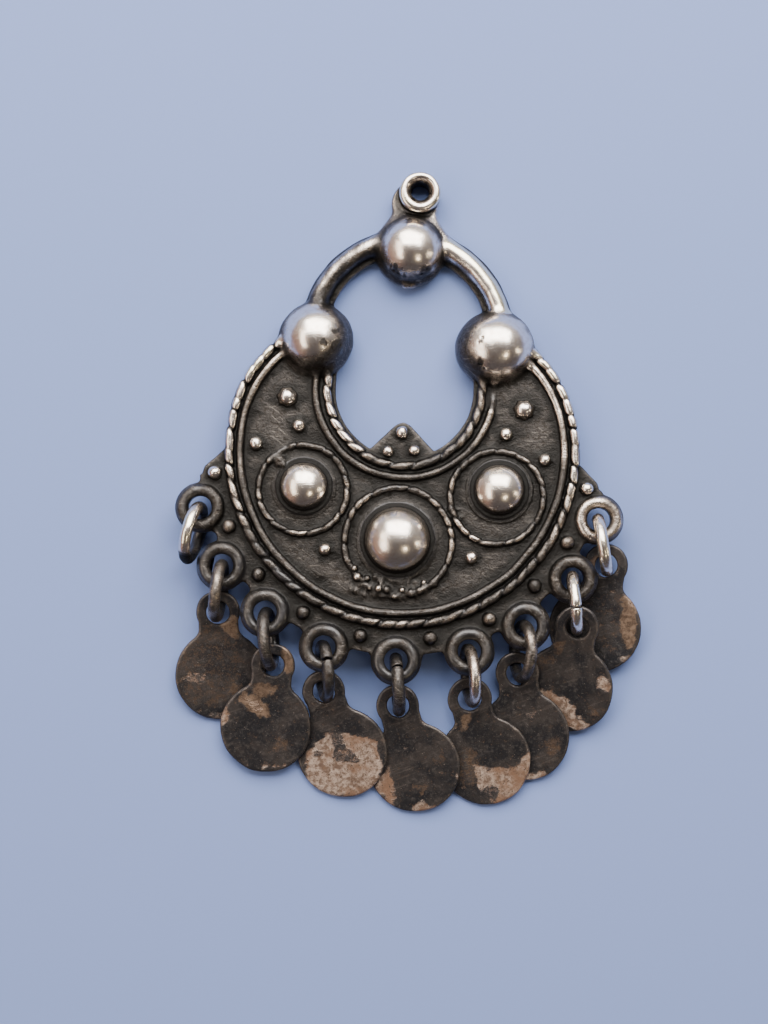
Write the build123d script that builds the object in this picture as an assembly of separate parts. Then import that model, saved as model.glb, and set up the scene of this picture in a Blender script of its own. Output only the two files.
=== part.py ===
from build123d import *
import os
from collections import namedtuple
from math import asin, cos, degrees, radians, sin, sqrt

# A cast silver crescent pendant with a hanging eye, nine cut jump rings and eight sheet drops.
# Lengths are millimetres and angles degrees. Each piece is first drawn flat: the crescent's centre
# is the origin, +Y points to the hanging eye, and the flat back lies at z = 0. A bearing is counted
# from +X, counterclockwise as seen from the front. A heading is counted from -Y towards +X.

# Crescent plate
crescent_r = 19.17       # centre line of the twisted border wire
plate_lip = 0.38         # how far the plate reaches past that centre line
plate_t = 1.2
shoulder_r = 13.8        # the border turns in more tightly towards the horns
shoulder_bearing = 10.0  # where the shoulder starts, above the horizontal
shoulder_sweep = 42.0

# Window in the crescent, and the small tab that points into it
window_r = 7.67
window_y = 7.0
tab_width = 6.4
tab_height = 3.9
tab_round_r = 0.8

# Wires soldered on the front
twisted_wire_r = 0.52
plain_wire_r = 0.45
border_gap = 1.17        # from the twisted border wire in to the plain one
sill_twisted_r = 8.6     # twisted wire round the window
sill_plain_r = 9.9       # plain wire outside it
sill_end_bearing = 11.0  # where both stop under the side balls
boss_wire_r = 0.36
wire_lift = 0.1          # height of a wire's centre line over the plate

# Scalloped flange with its eyelets
flange_t = 1.0
flange_lap = 0.87        # how far the flange runs in under the border wire
grain_ring_out = 1.73    # from the border wire out to the flange's row of grains
flange_rim_w = 1.8       # from that row out to the flange's edge between the lobes
eyelet_out = 0.7         # from that edge out to the circle on which the eyelets stand
lobe_r = 2.8
eyelet_hole_r = 1.3
eyelet_wire_r = 0.6
eyelet_land = 0.04       # how far the hole is opened into the eyelet's round wire
flange_grain_r = 0.74
flange_end_r = 1.35
flange_taper_deg = 7.0   # how far each end runs out along the crescent's edge
flange_overlap_deg = 3.0
flange_inner_r = crescent_r - flange_lap
flange_grain_ring_r = crescent_r + grain_ring_out
flange_r = flange_grain_ring_r + flange_rim_w
eyelet_r = flange_r + eyelet_out

# Arch over the window: round wire on a flat web
arch_r = 10.4
arch_y = 13.1
arch_wire_r = 1.05
arch_web_w = 3.0
arch_web_t = 0.85
arch_back_gap = 0.1

# Three large balls on collars, where the arch and the horns meet
side_ball_x = 10.2
side_ball_y = 12.07
side_ball_r = 3.57
top_ball_y = 22.5
top_ball_r = 3.45
collar_rim = 0.5
collar_t = 1.7
ball_sink = 0.5          # how far a ball's centre lies below its collar's face
nub_r = 0.75

# Lug and hanging eye
lug_x = 0.28
lug_y = 27.8
lug_end_r = 2.65
lug_neck_w = 5.1
lug_neck_drop = 0.65     # from the rounded end's centre down to the neck
lug_t = 1.6
lug_flare = 5.6
lug_flare_bow = 0.9
eye_x = 0.79
eye_y = 28.84
eye_rim_r = 2.28
eye_hole_r = 1.28
eye_h = 3.5
eye_round_r = 0.45

# Raised grains on the crescent plate
grain_r = 0.69
large_grain_r = 1.02
tab_grain_r = 0.64
grain_lift = 0.25        # height of a grain's centre over the face that it sits on

# Collar round each boss
boss_step = 0.4
boss_step_t = 0.3
boss_sink = 0.2

# Jump rings
ring_r = 2.9             # mean radius
ring_wire_r = 0.65
ring_cut_deg = 5.0
ring_cut_bearing = 55.0  # where the cut is, from the eyelet's side up

# Sheet drops
drop_t = 0.5
drop_eye_r = 2.45
drop_hole_r = 1.28
drop_neck_w = 4.5
drop_disc_r = 5.11
drop_length = 7.15       # from the hole's centre to the disc's centre
drop_neck_round_r = 0.55

# Clearances
seat_gap = 0.38          # flange back over the ring wire that carries it
eye_gap = 0.45           # drop's eye over the ring wire that carries it
sheet_gap = 0.01         # lowest edge of a drop over what it lies on
link_play = 0.5          # how far a wire may stand off the centre of a hole

# Bosses: place and radius of the dome, then of the wire ring, all as shares of the border's radius
Boss = namedtuple("Boss", "x_share y_share dome_share ring_x_share ring_y_share ring_share")
bosses = [
    Boss(-0.560, -0.226, 0.143, -0.564, -0.244, 0.257),
    Boss(-0.007, -0.514, 0.194, -0.002, -0.522, 0.310),
    Boss(0.571, -0.199, 0.149, 0.558, -0.244, 0.269),
]

# Grains on the plate: where each sits, as shares of the border's radius, and its radius
Grain = namedtuple("Grain", "x_share y_share r")
grains = [
    Grain(-0.678, 0.291, large_grain_r),
    Grain(0.696, 0.273, large_grain_r),
    Grain(-0.603, 0.126, grain_r),
    Grain(0.598, 0.124, grain_r),
    Grain(-0.848, 0.011, grain_r),
    Grain(0.824, -0.015, grain_r),
    Grain(-0.422, -0.586, grain_r),
    Grain(0.425, -0.597, grain_r),
    Grain(-0.005, 0.110, tab_grain_r),
    Grain(-0.081, -0.004, tab_grain_r),
    Grain(0.069, 0.009, tab_grain_r),
]

# Bearings of the grains along the flange
flange_grain_bearings = [188.8, 205.7, 222.9, 240.9, 259.8, 280.9, 299.6, 317.0, 333.4, 351.0]

# Each link is an eyelet with its ring, counted from the far left. out_share is how far the eyelet
# stands out of the eyelet circle, as a share of that circle. lean tips the ring to the right, and
# play pulls it outward in the eyelet's hole, as a share of link_play. rise_share is how high its
# lowest point stands, as a share of drop_length: ring 8 stands on the sheet of drop 9.
Link = namedtuple("Link", "number bearing out_share heading lean play rise_share")
links = [
    Link(1, 197.9, -0.007, -11.0, -10.0, 0.0, 0.0),
    Link(2, 214.7, 0.011, -4.0, -4.0, -0.2, 0.0),
    Link(3, 232.0, 0.000, 8.0, -8.0, 0.25, 0.0),
    Link(4, 250.6, -0.003, 6.0, 10.0, -0.2, 0.0),
    Link(5, 270.7, -0.012, 6.0, 3.0, -0.15, 0.0),
    Link(6, 291.0, -0.003, 7.0, 9.0, -0.15, 0.0),
    Link(7, 307.7, 0.011, -1.0, 15.0, 0.0, 0.0),
    Link(8, 325.6, 0.008, 7.5, -3.0, 0.05, 0.182),
    Link(9, 343.3, -0.014, 12.0, -4.0, 0.0, 0.0),
]

# Drops: heading, the slope of the sheet up to its right, how much higher than usual the eye rides
# on its ring, how far the far edge lies over the surface (both as shares of drop_length), and how
# far the eye is pulled outward on the ring, as a share of link_play. Drop 3 lies on both neighbours.
Drop = namedtuple("Drop", "number heading roll eye_lift_share rest_share play")
drops = [
    Drop(2, 4.3, -0.04, 0.0, 0.0, 0.0),
    Drop(3, -4.6, 0.04, 0.084, 0.084, 0.4),
    Drop(4, 18.0, 0.14, 0.0, 0.0, -0.2),
    Drop(5, 17.2, 0.12, 0.0, 0.0, 0.15),
    Drop(6, 15.8, 0.10, 0.0, 0.0, 0.45),
    Drop(7, 8.0, 0.09, 0.007, 0.0, 0.2),
    Drop(8, -7.0, 0.12, 0.007, 0.0, 0.55),
    Drop(9, -7.5, 0.14, -0.028, 0.0, 0.0),
]


def polar(radius, bearing):
    return (radius * cos(radians(bearing)), radius * sin(radians(bearing)))


def disc(x, y, radius, thickness, base=0.0):
    """A round plate standing on the height base."""
    return Pos(x, y, base) * extrude(Circle(radius), thickness)


def round_wire(centre, radius, wire_r, height, start, sweep):
    """Round wire bent to an arc, its centre line at the given height."""
    section = Plane.XZ * Pos(radius, 0) * Circle(wire_r)
    bent = revolve(section, Axis.Z, abs(sweep))
    return Pos(centre[0], centre[1], height) * Rot(0, 0, min(start, start + sweep)) * bent


def shoulder_centre(side):
    """Centre of the tighter arc next to a horn. side is -1 on the left and 1 on the right."""
    x, y = polar(crescent_r - shoulder_r, shoulder_bearing)
    return (side * x, y)


def shoulder_end(side, radius):
    x, y = polar(radius, shoulder_bearing + shoulder_sweep)
    centre = shoulder_centre(side)
    return (centre[0] + side * x, centre[1] + y)


def crescent_plate():
    lip_r = shoulder_r + plate_lip
    left_end = shoulder_end(-1, lip_r)
    right_end = shoulder_end(1, lip_r)
    left_start = 180 - shoulder_bearing
    edge = [
        CenterArc(shoulder_centre(-1), lip_r, left_start - shoulder_sweep, shoulder_sweep),
        CenterArc((0, 0), crescent_r + plate_lip, left_start, 180 + 2 * shoulder_bearing),
        CenterArc(shoulder_centre(1), lip_r, shoulder_bearing, shoulder_sweep),
        Line(right_end, (side_ball_x, side_ball_y)),
        Line((side_ball_x, side_ball_y), (-side_ball_x, side_ball_y)),
        Line((-side_ball_x, side_ball_y), left_end),
    ]
    return extrude(make_face(Curve() + edge), plate_t)


def window_cutter():
    """Round at the bottom and straight up to past the line between the side balls."""
    top = side_ball_y + side_ball_r
    bottom = (0, window_y - window_r)
    edge = [
        ThreePointArc((-window_r, window_y), bottom, (window_r, window_y)),
        Line((window_r, window_y), (window_r, top)),
        Line((window_r, top), (-window_r, top)),
        Line((-window_r, top), (-window_r, window_y)),
    ]
    return extrude(make_face(Curve() + edge), plate_t * 4, both=True)


def window_tab():
    """The three-cornered tab on the sill, with its rounded tip inside the window."""
    half = tab_width / 2
    foot_y = window_y - sqrt(window_r ** 2 - half ** 2)
    root_y = window_y - window_r - tab_round_r
    corners = [(-half, foot_y), (0, root_y), (half, foot_y), (0, window_y - window_r + tab_height)]
    face = make_face(Polyline(*corners, close=True))
    tip = face.vertices().sort_by(Axis.Y)[-1]
    return extrude(fillet(tip, tab_round_r), plate_t)


def flange_end(bearing, away):
    """Rounded end of the flange that tapers into the crescent's edge."""
    x, y = polar(flange_grain_ring_r, bearing)
    tip_r = flange_grain_ring_r + flange_end_r / 2
    inward = bearing - away * flange_overlap_deg
    taper = Polyline(
        polar(crescent_r, bearing + away * flange_taper_deg),
        polar(tip_r, bearing + away * flange_overlap_deg),
        polar(tip_r, inward),
        polar(crescent_r, inward),
        close=True,
    )
    return [disc(x, y, flange_end_r, flange_t), extrude(make_face(taper), flange_t)]


def eyelet_place(link):
    return polar(eyelet_r * (1 + link.out_share), link.bearing)


def flange():
    first = flange_grain_bearings[0]
    last = flange_grain_bearings[-1]
    section = Plane.XZ * Pos((flange_inner_r + flange_r) / 2, flange_t / 2)
    section = section * Rectangle(flange_r - flange_inner_r, flange_t)
    pieces = [Rot(0, 0, first) * revolve(section, Axis.Z, last - first)]
    pieces += flange_end(first, -1) + flange_end(last, 1)
    for link in links:
        x, y = eyelet_place(link)
        pieces.append(disc(x, y, lobe_r, flange_t))
    return pieces


def eyelets():
    mean_r = eyelet_hole_r + eyelet_wire_r - eyelet_land
    rims = []
    for link in links:
        x, y = eyelet_place(link)
        rims.append(Pos(x, y, flange_t) * Torus(mean_r, eyelet_wire_r))
    return rims


def border_wires():
    """The twisted wire on the plate's edge and the plain wire inside it."""
    height = plate_t + wire_lift
    wires = []
    for inset, wire_r in [(0, twisted_wire_r), (border_gap, plain_wire_r)]:
        start = 180 - shoulder_bearing
        sweep = 180 + 2 * shoulder_bearing
        wires.append(round_wire((0, 0), crescent_r - inset, wire_r, height, start, sweep))
        turn_r = shoulder_r - inset
        wires.append(round_wire(shoulder_centre(-1), turn_r, wire_r, height, start, -shoulder_sweep))
        wires.append(round_wire(shoulder_centre(1), turn_r, wire_r, height, shoulder_bearing, shoulder_sweep))
    return wires


def sill_wires():
    """The twisted and the plain wire that follow the window."""
    height = plate_t + wire_lift
    start = 180 - sill_end_bearing
    sweep = 180 + 2 * sill_end_bearing
    centre = (0, window_y)
    return [
        round_wire(centre, sill_twisted_r, twisted_wire_r, height, start, sweep),
        round_wire(centre, sill_plain_r, plain_wire_r, height, start, sweep),
    ]


def boss_set():
    """Three domes, each on a low step inside a ring of twisted wire."""
    pieces = []
    for boss in bosses:
        x = boss.x_share * crescent_r
        y = boss.y_share * crescent_r
        dome_r = boss.dome_share * crescent_r
        pieces.append(disc(x, y, dome_r + boss_step, plate_t + boss_step_t))
        pieces.append(Pos(x, y, plate_t - boss_sink) * Sphere(dome_r))
        ring = Torus(boss.ring_share * crescent_r, boss_wire_r)
        ring_x = boss.ring_x_share * crescent_r
        ring_y = boss.ring_y_share * crescent_r
        pieces.append(Pos(ring_x, ring_y, plate_t + wire_lift) * ring)
    return pieces


def grain_set():
    pieces = []
    for grain in grains:
        place = Pos(grain.x_share * crescent_r, grain.y_share * crescent_r, plate_t + grain_lift)
        pieces.append(place * Sphere(grain.r))
    for bearing in flange_grain_bearings:
        x, y = polar(flange_grain_ring_r, bearing)
        pieces.append(Pos(x, y, flange_t + grain_lift) * Sphere(flange_grain_r))
    return pieces


def balls():
    pieces = []
    places = [
        (-side_ball_x, side_ball_y, side_ball_r),
        (side_ball_x, side_ball_y, side_ball_r),
        (0.0, top_ball_y, top_ball_r),
    ]
    for x, y, radius in places:
        pieces.append(disc(x, y, radius + collar_rim, collar_t))
        pieces.append(Pos(x, y, collar_t - ball_sink) * Sphere(radius))
    nub_y = top_ball_y - top_ball_r - collar_rim / 2
    pieces.append(Pos(nub_r, nub_y, collar_t - nub_r / 2) * Sphere(nub_r))
    return pieces


def arch():
    """Both feet of the arch end under the side balls."""
    drop = degrees(asin((arch_y - side_ball_y) / arch_r))
    sweep = 180 + 2 * drop
    wire = round_wire((0, arch_y), arch_r, arch_wire_r, arch_back_gap + arch_wire_r, -drop, sweep)
    section = Plane.XZ * Pos(arch_r, arch_web_t / 2) * Rectangle(arch_web_w, arch_web_t)
    return [wire, Pos(0, arch_y) * Rot(0, 0, -drop) * revolve(section, Axis.Z, sweep)]


def lug():
    """Tongue above the top ball, flaring into the arch on both sides."""
    foot_y = top_ball_y
    left_top = (lug_x - lug_neck_w / 2, lug_y - lug_neck_drop)
    right_top = (lug_x + lug_neck_w / 2, lug_y - lug_neck_drop)
    edge = [
        SagittaArc((-lug_flare, foot_y), left_top, lug_flare_bow),
        Line(left_top, right_top),
        SagittaArc(right_top, (lug_flare, foot_y), lug_flare_bow),
        Line((lug_flare, foot_y), (-lug_flare, foot_y)),
    ]
    return [extrude(make_face(Curve() + edge), lug_t), disc(lug_x, lug_y, lug_end_r, lug_t)]


def hanging_eye():
    """Raised round rim, its bore is cut after the rim is soldered on."""
    rim = disc(eye_x, eye_y, eye_rim_r, eye_h)
    top = rim.edges().sort_by(Axis.Z)[-1]
    return fillet(top, eye_round_r)


def body_holes():
    holes = [disc(eye_x, eye_y, eye_hole_r, eye_h * 3, -eye_h)]
    for link in links:
        x, y = eyelet_place(link)
        holes.append(disc(x, y, eyelet_hole_r, flange_t * 6, -flange_t * 2))
    return holes


def below_back():
    side = 4 * crescent_r
    return Pos(0, 0, -side / 2) * Box(side, side, side)


def flat_body():
    body = crescent_plate() - window_cutter()
    body = body + ([window_tab(), hanging_eye()] + arch() + lug() + flange() + balls())
    body = body + (boss_set() + border_wires() + sill_wires() + eyelets() + grain_set())
    return body - (body_holes() + [below_back()])


def lean_angle():
    """The back leans from the hanging eye's edge up to the ring that stands highest for its place."""
    angles = []
    for link in links:
        reach = eye_y + eye_rim_r - eyelet_place(link)[1]
        seat = link.rise_share * drop_length + 2 * ring_wire_r + seat_gap
        angles.append(degrees(asin(seat / reach)))
    return max(angles)


def leaning(piece):
    """Turns a flat piece about the line where the hanging eye's edge touches the surface."""
    pivot_y = eye_y + eye_rim_r
    return Pos(0, pivot_y, 0) * Rot(-lean_angle(), 0, 0) * Pos(0, -pivot_y, 0) * piece


def heading_vector(heading):
    return Vector(sin(radians(heading)), -cos(radians(heading)), 0)


class RingPlace:
    """Where a ring stands: upright, leaning aside, with its wire through the eyelet."""

    def __init__(self, link):
        x, y = eyelet_place(link)
        hole = leaning(Pos(x, y, flange_t / 2)).position
        self.along = heading_vector(link.heading)
        aside = Vector(cos(radians(link.heading)), sin(radians(link.heading)), 0)
        lean = radians(link.lean)
        self.up = Vector(0, 0, 1) * cos(lean) + aside * sin(lean)
        self.lowest_z = link.rise_share * drop_length
        self.middle_z = self.lowest_z + ring_r * cos(lean) + ring_wire_r
        through = hole + self.along * (link.play * link_play)
        rise, reach = self.wire_at(through.Z)
        self.centre = through + self.along * reach - self.up * rise

    def wire_at(self, z):
        """How high and how far from the ring's centre its wire passes the height z."""
        rise = (z - self.middle_z) / self.up.Z
        return rise, sqrt(ring_r ** 2 - rise ** 2)

    def far_wire(self, z):
        rise, reach = self.wire_at(z)
        return self.centre + self.along * reach + self.up * rise


def jump_ring(link):
    """Round wire bent to a ring, with its cut at the side of the eyelet."""
    place = RingPlace(link)
    bent = round_wire((0, 0), ring_r, ring_wire_r, 0, ring_cut_deg / 2, 360 - ring_cut_deg)
    plane = Plane(place.centre, x_dir=-place.along, z_dir=place.along.cross(place.up))
    return plane.location * Rot(0, 0, ring_cut_bearing) * bent


def drop_sheet():
    outline = Circle(drop_eye_r) + Pos(0, -drop_length / 2) * Rectangle(drop_neck_w, drop_length)
    outline = outline + Pos(0, -drop_length) * Circle(drop_disc_r)
    neck_y = drop_length - sqrt(drop_disc_r ** 2 - drop_neck_w ** 2 / 4)
    corners = [v for v in outline.vertices() if abs(v.Y + neck_y) < drop_t]
    outline = fillet(corners, drop_neck_round_r) - Circle(drop_hole_r)
    return Pos(0, 0, -drop_t / 2) * extrude(outline, drop_t)


def fall_slope(eye_z, rest_z, roll):
    """Slope down to the disc's far edge, so that its lowest point lies at rest_z."""
    drop_z = eye_z - drop_t / 2 - sheet_gap - rest_z
    spread = drop_length ** 2 - drop_disc_r ** 2
    level = drop_z ** 2 - (roll * drop_disc_r) ** 2
    return (drop_z * drop_length - sqrt((drop_z * drop_length) ** 2 - spread * level)) / spread


def laid_drop(drop):
    link = links[drop.number - 1]
    ring = RingPlace(link)
    lift = drop.eye_lift_share * drop_length
    eye_z = ring.lowest_z + 2 * ring_wire_r + eye_gap + drop_t / 2 + lift
    eye = ring.far_wire(eye_z) + ring.along * (drop.play * link_play)
    ahead = heading_vector(drop.heading)
    aside = Vector(cos(radians(drop.heading)), sin(radians(drop.heading)), 0)
    fall = fall_slope(eye_z, drop.rest_share * drop_length, drop.roll)
    normal = Vector(0, 0, 1) + ahead * fall - aside * drop.roll
    plane = Plane(eye, x_dir=aside + Vector(0, 0, drop.roll), z_dir=normal)
    return plane.location * drop_sheet()


def all_pieces():
    pieces = {"pendant_body": leaning(flat_body())}
    for link in links:
        pieces[f"jump_ring_{link.number}"] = jump_ring(link)
    for drop in drops:
        pieces[f"drop_{drop.number}"] = laid_drop(drop)
    return pieces


def centring_move(pieces):
    """The move that brings the origin under the middle of everything, on the surface."""
    boxes = [piece.bounding_box() for piece in pieces.values()]
    middle_x = (min(box.min.X for box in boxes) + max(box.max.X for box in boxes)) / 2
    middle_y = (min(box.min.Y for box in boxes) + max(box.max.Y for box in boxes)) / 2
    return Pos(-middle_x, -middle_y, -min(box.min.Z for box in boxes))


pieces = all_pieces()
to_row = centring_move(pieces)
os.makedirs("parts", exist_ok=True)
for node, piece in pieces.items():
    export_step(to_row * piece, f"parts/{node}.step")
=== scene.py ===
import math
import bpy
import numpy as np
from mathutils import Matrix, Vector


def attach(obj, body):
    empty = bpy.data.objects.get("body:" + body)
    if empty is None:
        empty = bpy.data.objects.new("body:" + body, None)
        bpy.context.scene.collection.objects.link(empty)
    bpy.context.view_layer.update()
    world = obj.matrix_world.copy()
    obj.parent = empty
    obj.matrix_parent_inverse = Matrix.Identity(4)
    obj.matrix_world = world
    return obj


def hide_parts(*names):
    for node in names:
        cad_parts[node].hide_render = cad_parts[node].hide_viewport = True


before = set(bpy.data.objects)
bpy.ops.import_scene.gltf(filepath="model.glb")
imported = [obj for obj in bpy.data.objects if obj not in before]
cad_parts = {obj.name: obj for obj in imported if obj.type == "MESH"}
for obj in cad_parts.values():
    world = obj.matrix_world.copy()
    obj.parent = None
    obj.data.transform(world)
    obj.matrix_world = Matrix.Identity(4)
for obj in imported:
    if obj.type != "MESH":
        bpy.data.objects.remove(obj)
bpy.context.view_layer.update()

# The crescent body. One silver casting with soldered wires, balls and a hanging eye. Its shape is
# worked out in millimetres, lying flat: the crescent's centre is the origin, +Y points to the eye,
# and the back is at z = 0. Each form is a distance function, and the forms melt where solder ran.
crescent_r = 19.17
shoulder_r = 13.8
shoulder_bearing = math.radians(10)
edge_past_wire = 0.38
horn_y = 12.07
window_y = 7.0
window_r = 7.67
plate_t = 1.2
lump_ways = np.random.default_rng(11).normal(0, 1.3, (16, 3, 6)).astype(np.float32)
lump_shifts = np.random.default_rng(12).uniform(0, 6.28, (16, 6)).astype(np.float32)
forms = []
cuts = []


def lumpy(p, size, seed=0):
    """Smooth random lumps of about this size, from -1 to 1."""
    ways, shifts = lump_ways[seed % 16], lump_shifts[seed % 16]
    a = p @ (ways / size) + shifts
    a[:, :3] += 1.4 * np.sin(a[:, 3:])
    return np.sin(a[:, :3]).sum(1) * 0.45


def melt(a, b, fillet):
    """Joins two forms with a solder fillet of this size."""
    h = np.clip(0.5 + 0.5 * (b - a) / fillet, 0, 1)
    return b + (a - b) * h - fillet * h * (1 - h)


def slab(outline, z, low, high, edge):
    """A plate with this outline and softly rounded edges."""
    a = outline + edge
    b = np.abs(z - (low + high) / 2) - (high - low) / 2 + edge
    return np.minimum(np.maximum(a, b), 0) + np.hypot(np.maximum(a, 0), np.maximum(b, 0)) - edge


def add(x, y, reach, fillet, polish, distance):
    """Keeps a form: its middle, how far it reaches, its solder fillet, its polish and its distance.

    The polish is a number or a function of the place. -0.5 is matt soot, -0.1 glossy black, 0 dull
    black, 0.5 brown metal half rubbed bare, 1 bright silver, and beyond 1 it turns to cream.
    """
    forms.append((x, y, reach, fillet, polish, distance))


def border_outline(p):
    """How far out of the border's centre line and along it, its turn round the shoulder, and its side."""
    x, y = p[:, 0], p[:, 1]
    on_shoulder = y > np.abs(x) * math.tan(shoulder_bearing)
    side = np.where(x < 0, -1.0, 1.0)
    cx = (crescent_r - shoulder_r) * math.cos(shoulder_bearing)
    cy = (crescent_r - shoulder_r) * math.sin(shoulder_bearing)
    across = np.abs(x) - cx
    turn = np.arctan2(y - cy, across) - shoulder_bearing
    out = np.where(on_shoulder, np.hypot(across, y - cy) - shoulder_r, np.hypot(x, y) - crescent_r)
    round_way = (np.arctan2(y, x) - (math.pi - shoulder_bearing)) % (2 * math.pi)
    length = crescent_r * (math.pi + 2 * shoulder_bearing)
    way = np.where(on_shoulder, np.where(side < 0, -shoulder_r * turn, length + shoulder_r * turn),
                   crescent_r * round_way)
    return out, way, turn * on_shoulder, side


def crescent(p):
    out = border_outline(p)[0] - edge_past_wire
    window = window_r - np.hypot(p[:, 0], np.minimum(p[:, 1] - window_y, 0))
    flat = np.maximum(np.maximum(out, window), p[:, 1] - horn_y)
    return slab(flat, p[:, 2], -2, plate_t, 0.15) + 0.03 * lumpy(p, 1.6)


def window_tab(p):
    """The blunt point of the plate that stands up in the window."""
    x, y = np.abs(p[:, 0]), p[:, 1]
    flat = melt((x + y - 3.75) / math.sqrt(2), y - 3.3, -0.6)
    return slab(np.maximum(flat, -1.5 - y), p[:, 2], -2, plate_t, 0.15) + 0.02 * lumpy(p, 1.1, 1)


add(0, 0, 40, 0.1, 0.05, crescent)
add(0, 1.5, 5, 0.1, 0.08, window_tab)

# The scalloped flange. It is cast in one with the plate, a step lower, with a lobe under each of the
# nine eyelets and a row of grains between them. Lobes run into each other with soft hollows.
flange_r = 20.4
flange_half = 2.2
flange_t = 1.0
flange_end = 81.1  # degrees each way from the bottom
lobe_r = 2.78
washer_r = 1.95
hole_r = 1.3
grain_row_r = 20.9
grain_bearings = [188.8, 205.7, 222.9, 240.9, 259.8, 280.9, 299.6, 317.0, 333.4, 351.0]
eyelet_places = [
    (-22.111, -7.141), (-19.451, -13.468), (-14.407, -18.440), (-7.749, -22.006), (0.2825, -23.1175),
    (8.3609, -21.7804), (14.4675, -18.7182), (19.4625, -13.3258), (22.0995, -6.6301),
]
eyelet_wear = [-0.02, -0.12, -0.12, -0.12, -0.12, -0.08, -0.02, 0.1, 0.5]


def polar(radius, degrees):
    return radius * math.cos(math.radians(degrees)), radius * math.sin(math.radians(degrees))


def from_axis(p, x, y):
    """How far each point is from the upright line through x and y."""
    return np.hypot(p[:, 0] - x, p[:, 1] - y)


def flange(p):
    """A band with a lobe round each eyelet, and at each end a tail that runs in under the border."""
    x, y = p[:, 0], p[:, 1]
    r = np.hypot(x, y)
    swing = np.abs((np.degrees(np.arctan2(y, x)) - 270 + 180) % 360 - 180) - flange_end
    flat = np.maximum(np.abs(r - flange_r) - flange_half, np.radians(swing) * r)
    for bearing, away in ((grain_bearings[0], -7), (grain_bearings[-1], 7)):
        gx, gy = polar(grain_row_r, bearing)
        hx, hy = polar(grain_row_r - 2, bearing + away)
        tx, ty = hx - gx, hy - gy
        share = np.clip(((x - gx) * tx + (y - gy) * ty) / (tx ** 2 + ty ** 2), 0, 1)
        tail = np.hypot(x - gx - share * tx, y - gy - share * ty) - 1.35 + 0.7 * share
        flat = melt(flat, tail, 0.5)
    for ex, ey in eyelet_places:
        flat = melt(flat, from_axis(p, ex, ey) - lobe_r, 0.7)
    return slab(flat, p[:, 2], -2, flange_t, 0.22) + 0.035 * lumpy(p, 1.3, 2)


def eyelet(ex, ey, seed):
    """A raised washer with a rounded rim, funnelled in to its hole."""
    def distance(p):
        r = from_axis(p, ex, ey)
        ring = np.hypot(r - washer_r, (p[:, 2] - 0.78) * 0.85) - 0.74
        return np.maximum(ring, hole_r - 0.02 - r) + 0.03 * lumpy(p, 1.2, seed)
    return distance


def eyelet_shine(amount, seed):
    return lambda p: amount + 0.16 * lumpy(p, 1.1, seed) + 0.1 * np.clip(p[:, 2] - 1.2, 0, 1)


def eyelet_hole(ex, ey):
    return lambda p: hole_r - from_axis(p, ex, ey)


add(0, 0, 40, 0.35, 0.0, flange)
for number, ((ex, ey), wear) in enumerate(zip(eyelet_places, eyelet_wear)):
    add(ex, ey, 2.9, 0.25, eyelet_shine(wear, 7 + number), eyelet(ex, ey, 20 + number))
    cuts.append((ex, ey, 2.0, eyelet_hole(ex, ey)))

# Wires soldered on the front: a two-strand twisted wire on the crescent's edge, a plain wire inside
# it, the same pair round the window, and a small twisted ring round each boss. Solder fills the twist
# unevenly, so the strands show as slanting lozenges that open and close.
wire_z = plate_t + 0.1
border_r = 0.54
border_plain_r = 0.45
border_plain_inset = 1.17
sill_r = 0.52
sill_arc_r = 8.6
sill_pitch = 1.8
sill_plain_r = 0.42
sill_plain_arc_r = 9.9
sill_plain_z = plate_t + 0.08


def slots(turns):
    """How deep in a slot between two strands a point is, from 0 to 1. Some slots are worn away."""
    share = turns - np.floor(turns) - 0.5
    return np.abs(2 * share) ** 4 * (0.65 + 0.4 * np.sin(2.3 * np.floor(turns + 0.5)))


def closed_end(d, wire_r, past):
    """Rounds a wire off where it ends: past is how far a point lies beyond the end."""
    return np.where(past > 0, np.hypot(d + wire_r, past) - wire_r, d)


def border_turns(p, out, way):
    slant = np.clip(0.65 - 0.03 * p[:, 1], 0.3, 0.95)
    return (way + 0.6 * lumpy(p, 3.6, 6) + slant * out) / 1.85


def border_wire(inset, wire_r, left_end, right_end, twist):
    def distance(p):
        out, way, turn, side = border_outline(p)
        u = out + inset + 0.05 * lumpy(p, 2.3, 4)
        w = p[:, 2] - wire_z - 0.05 * lumpy(p, 3.1, 5)
        thick = wire_r * (1 - 0.5 * slots(border_turns(p, out, way))) if twist else wire_r
        d = np.hypot(u, w * 0.92) - thick + 0.02 * lumpy(p, 0.7, 7)
        end = np.radians(np.where(side < 0, left_end, right_end)) - shoulder_bearing
        return closed_end(d, wire_r, (turn - end) * shoulder_r)
    return distance


def arc_turns(p, cx, cy, radius, pitch, slant, seed):
    """How many turns of the twist a point is along a wire bent to an arc."""
    way = np.arctan2(p[:, 1] - cy, p[:, 0] - cx) * radius + 0.5 * lumpy(p, 2.4, seed + 2)
    return (way + slant * (from_axis(p, cx, cy) - radius)) / pitch


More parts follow.
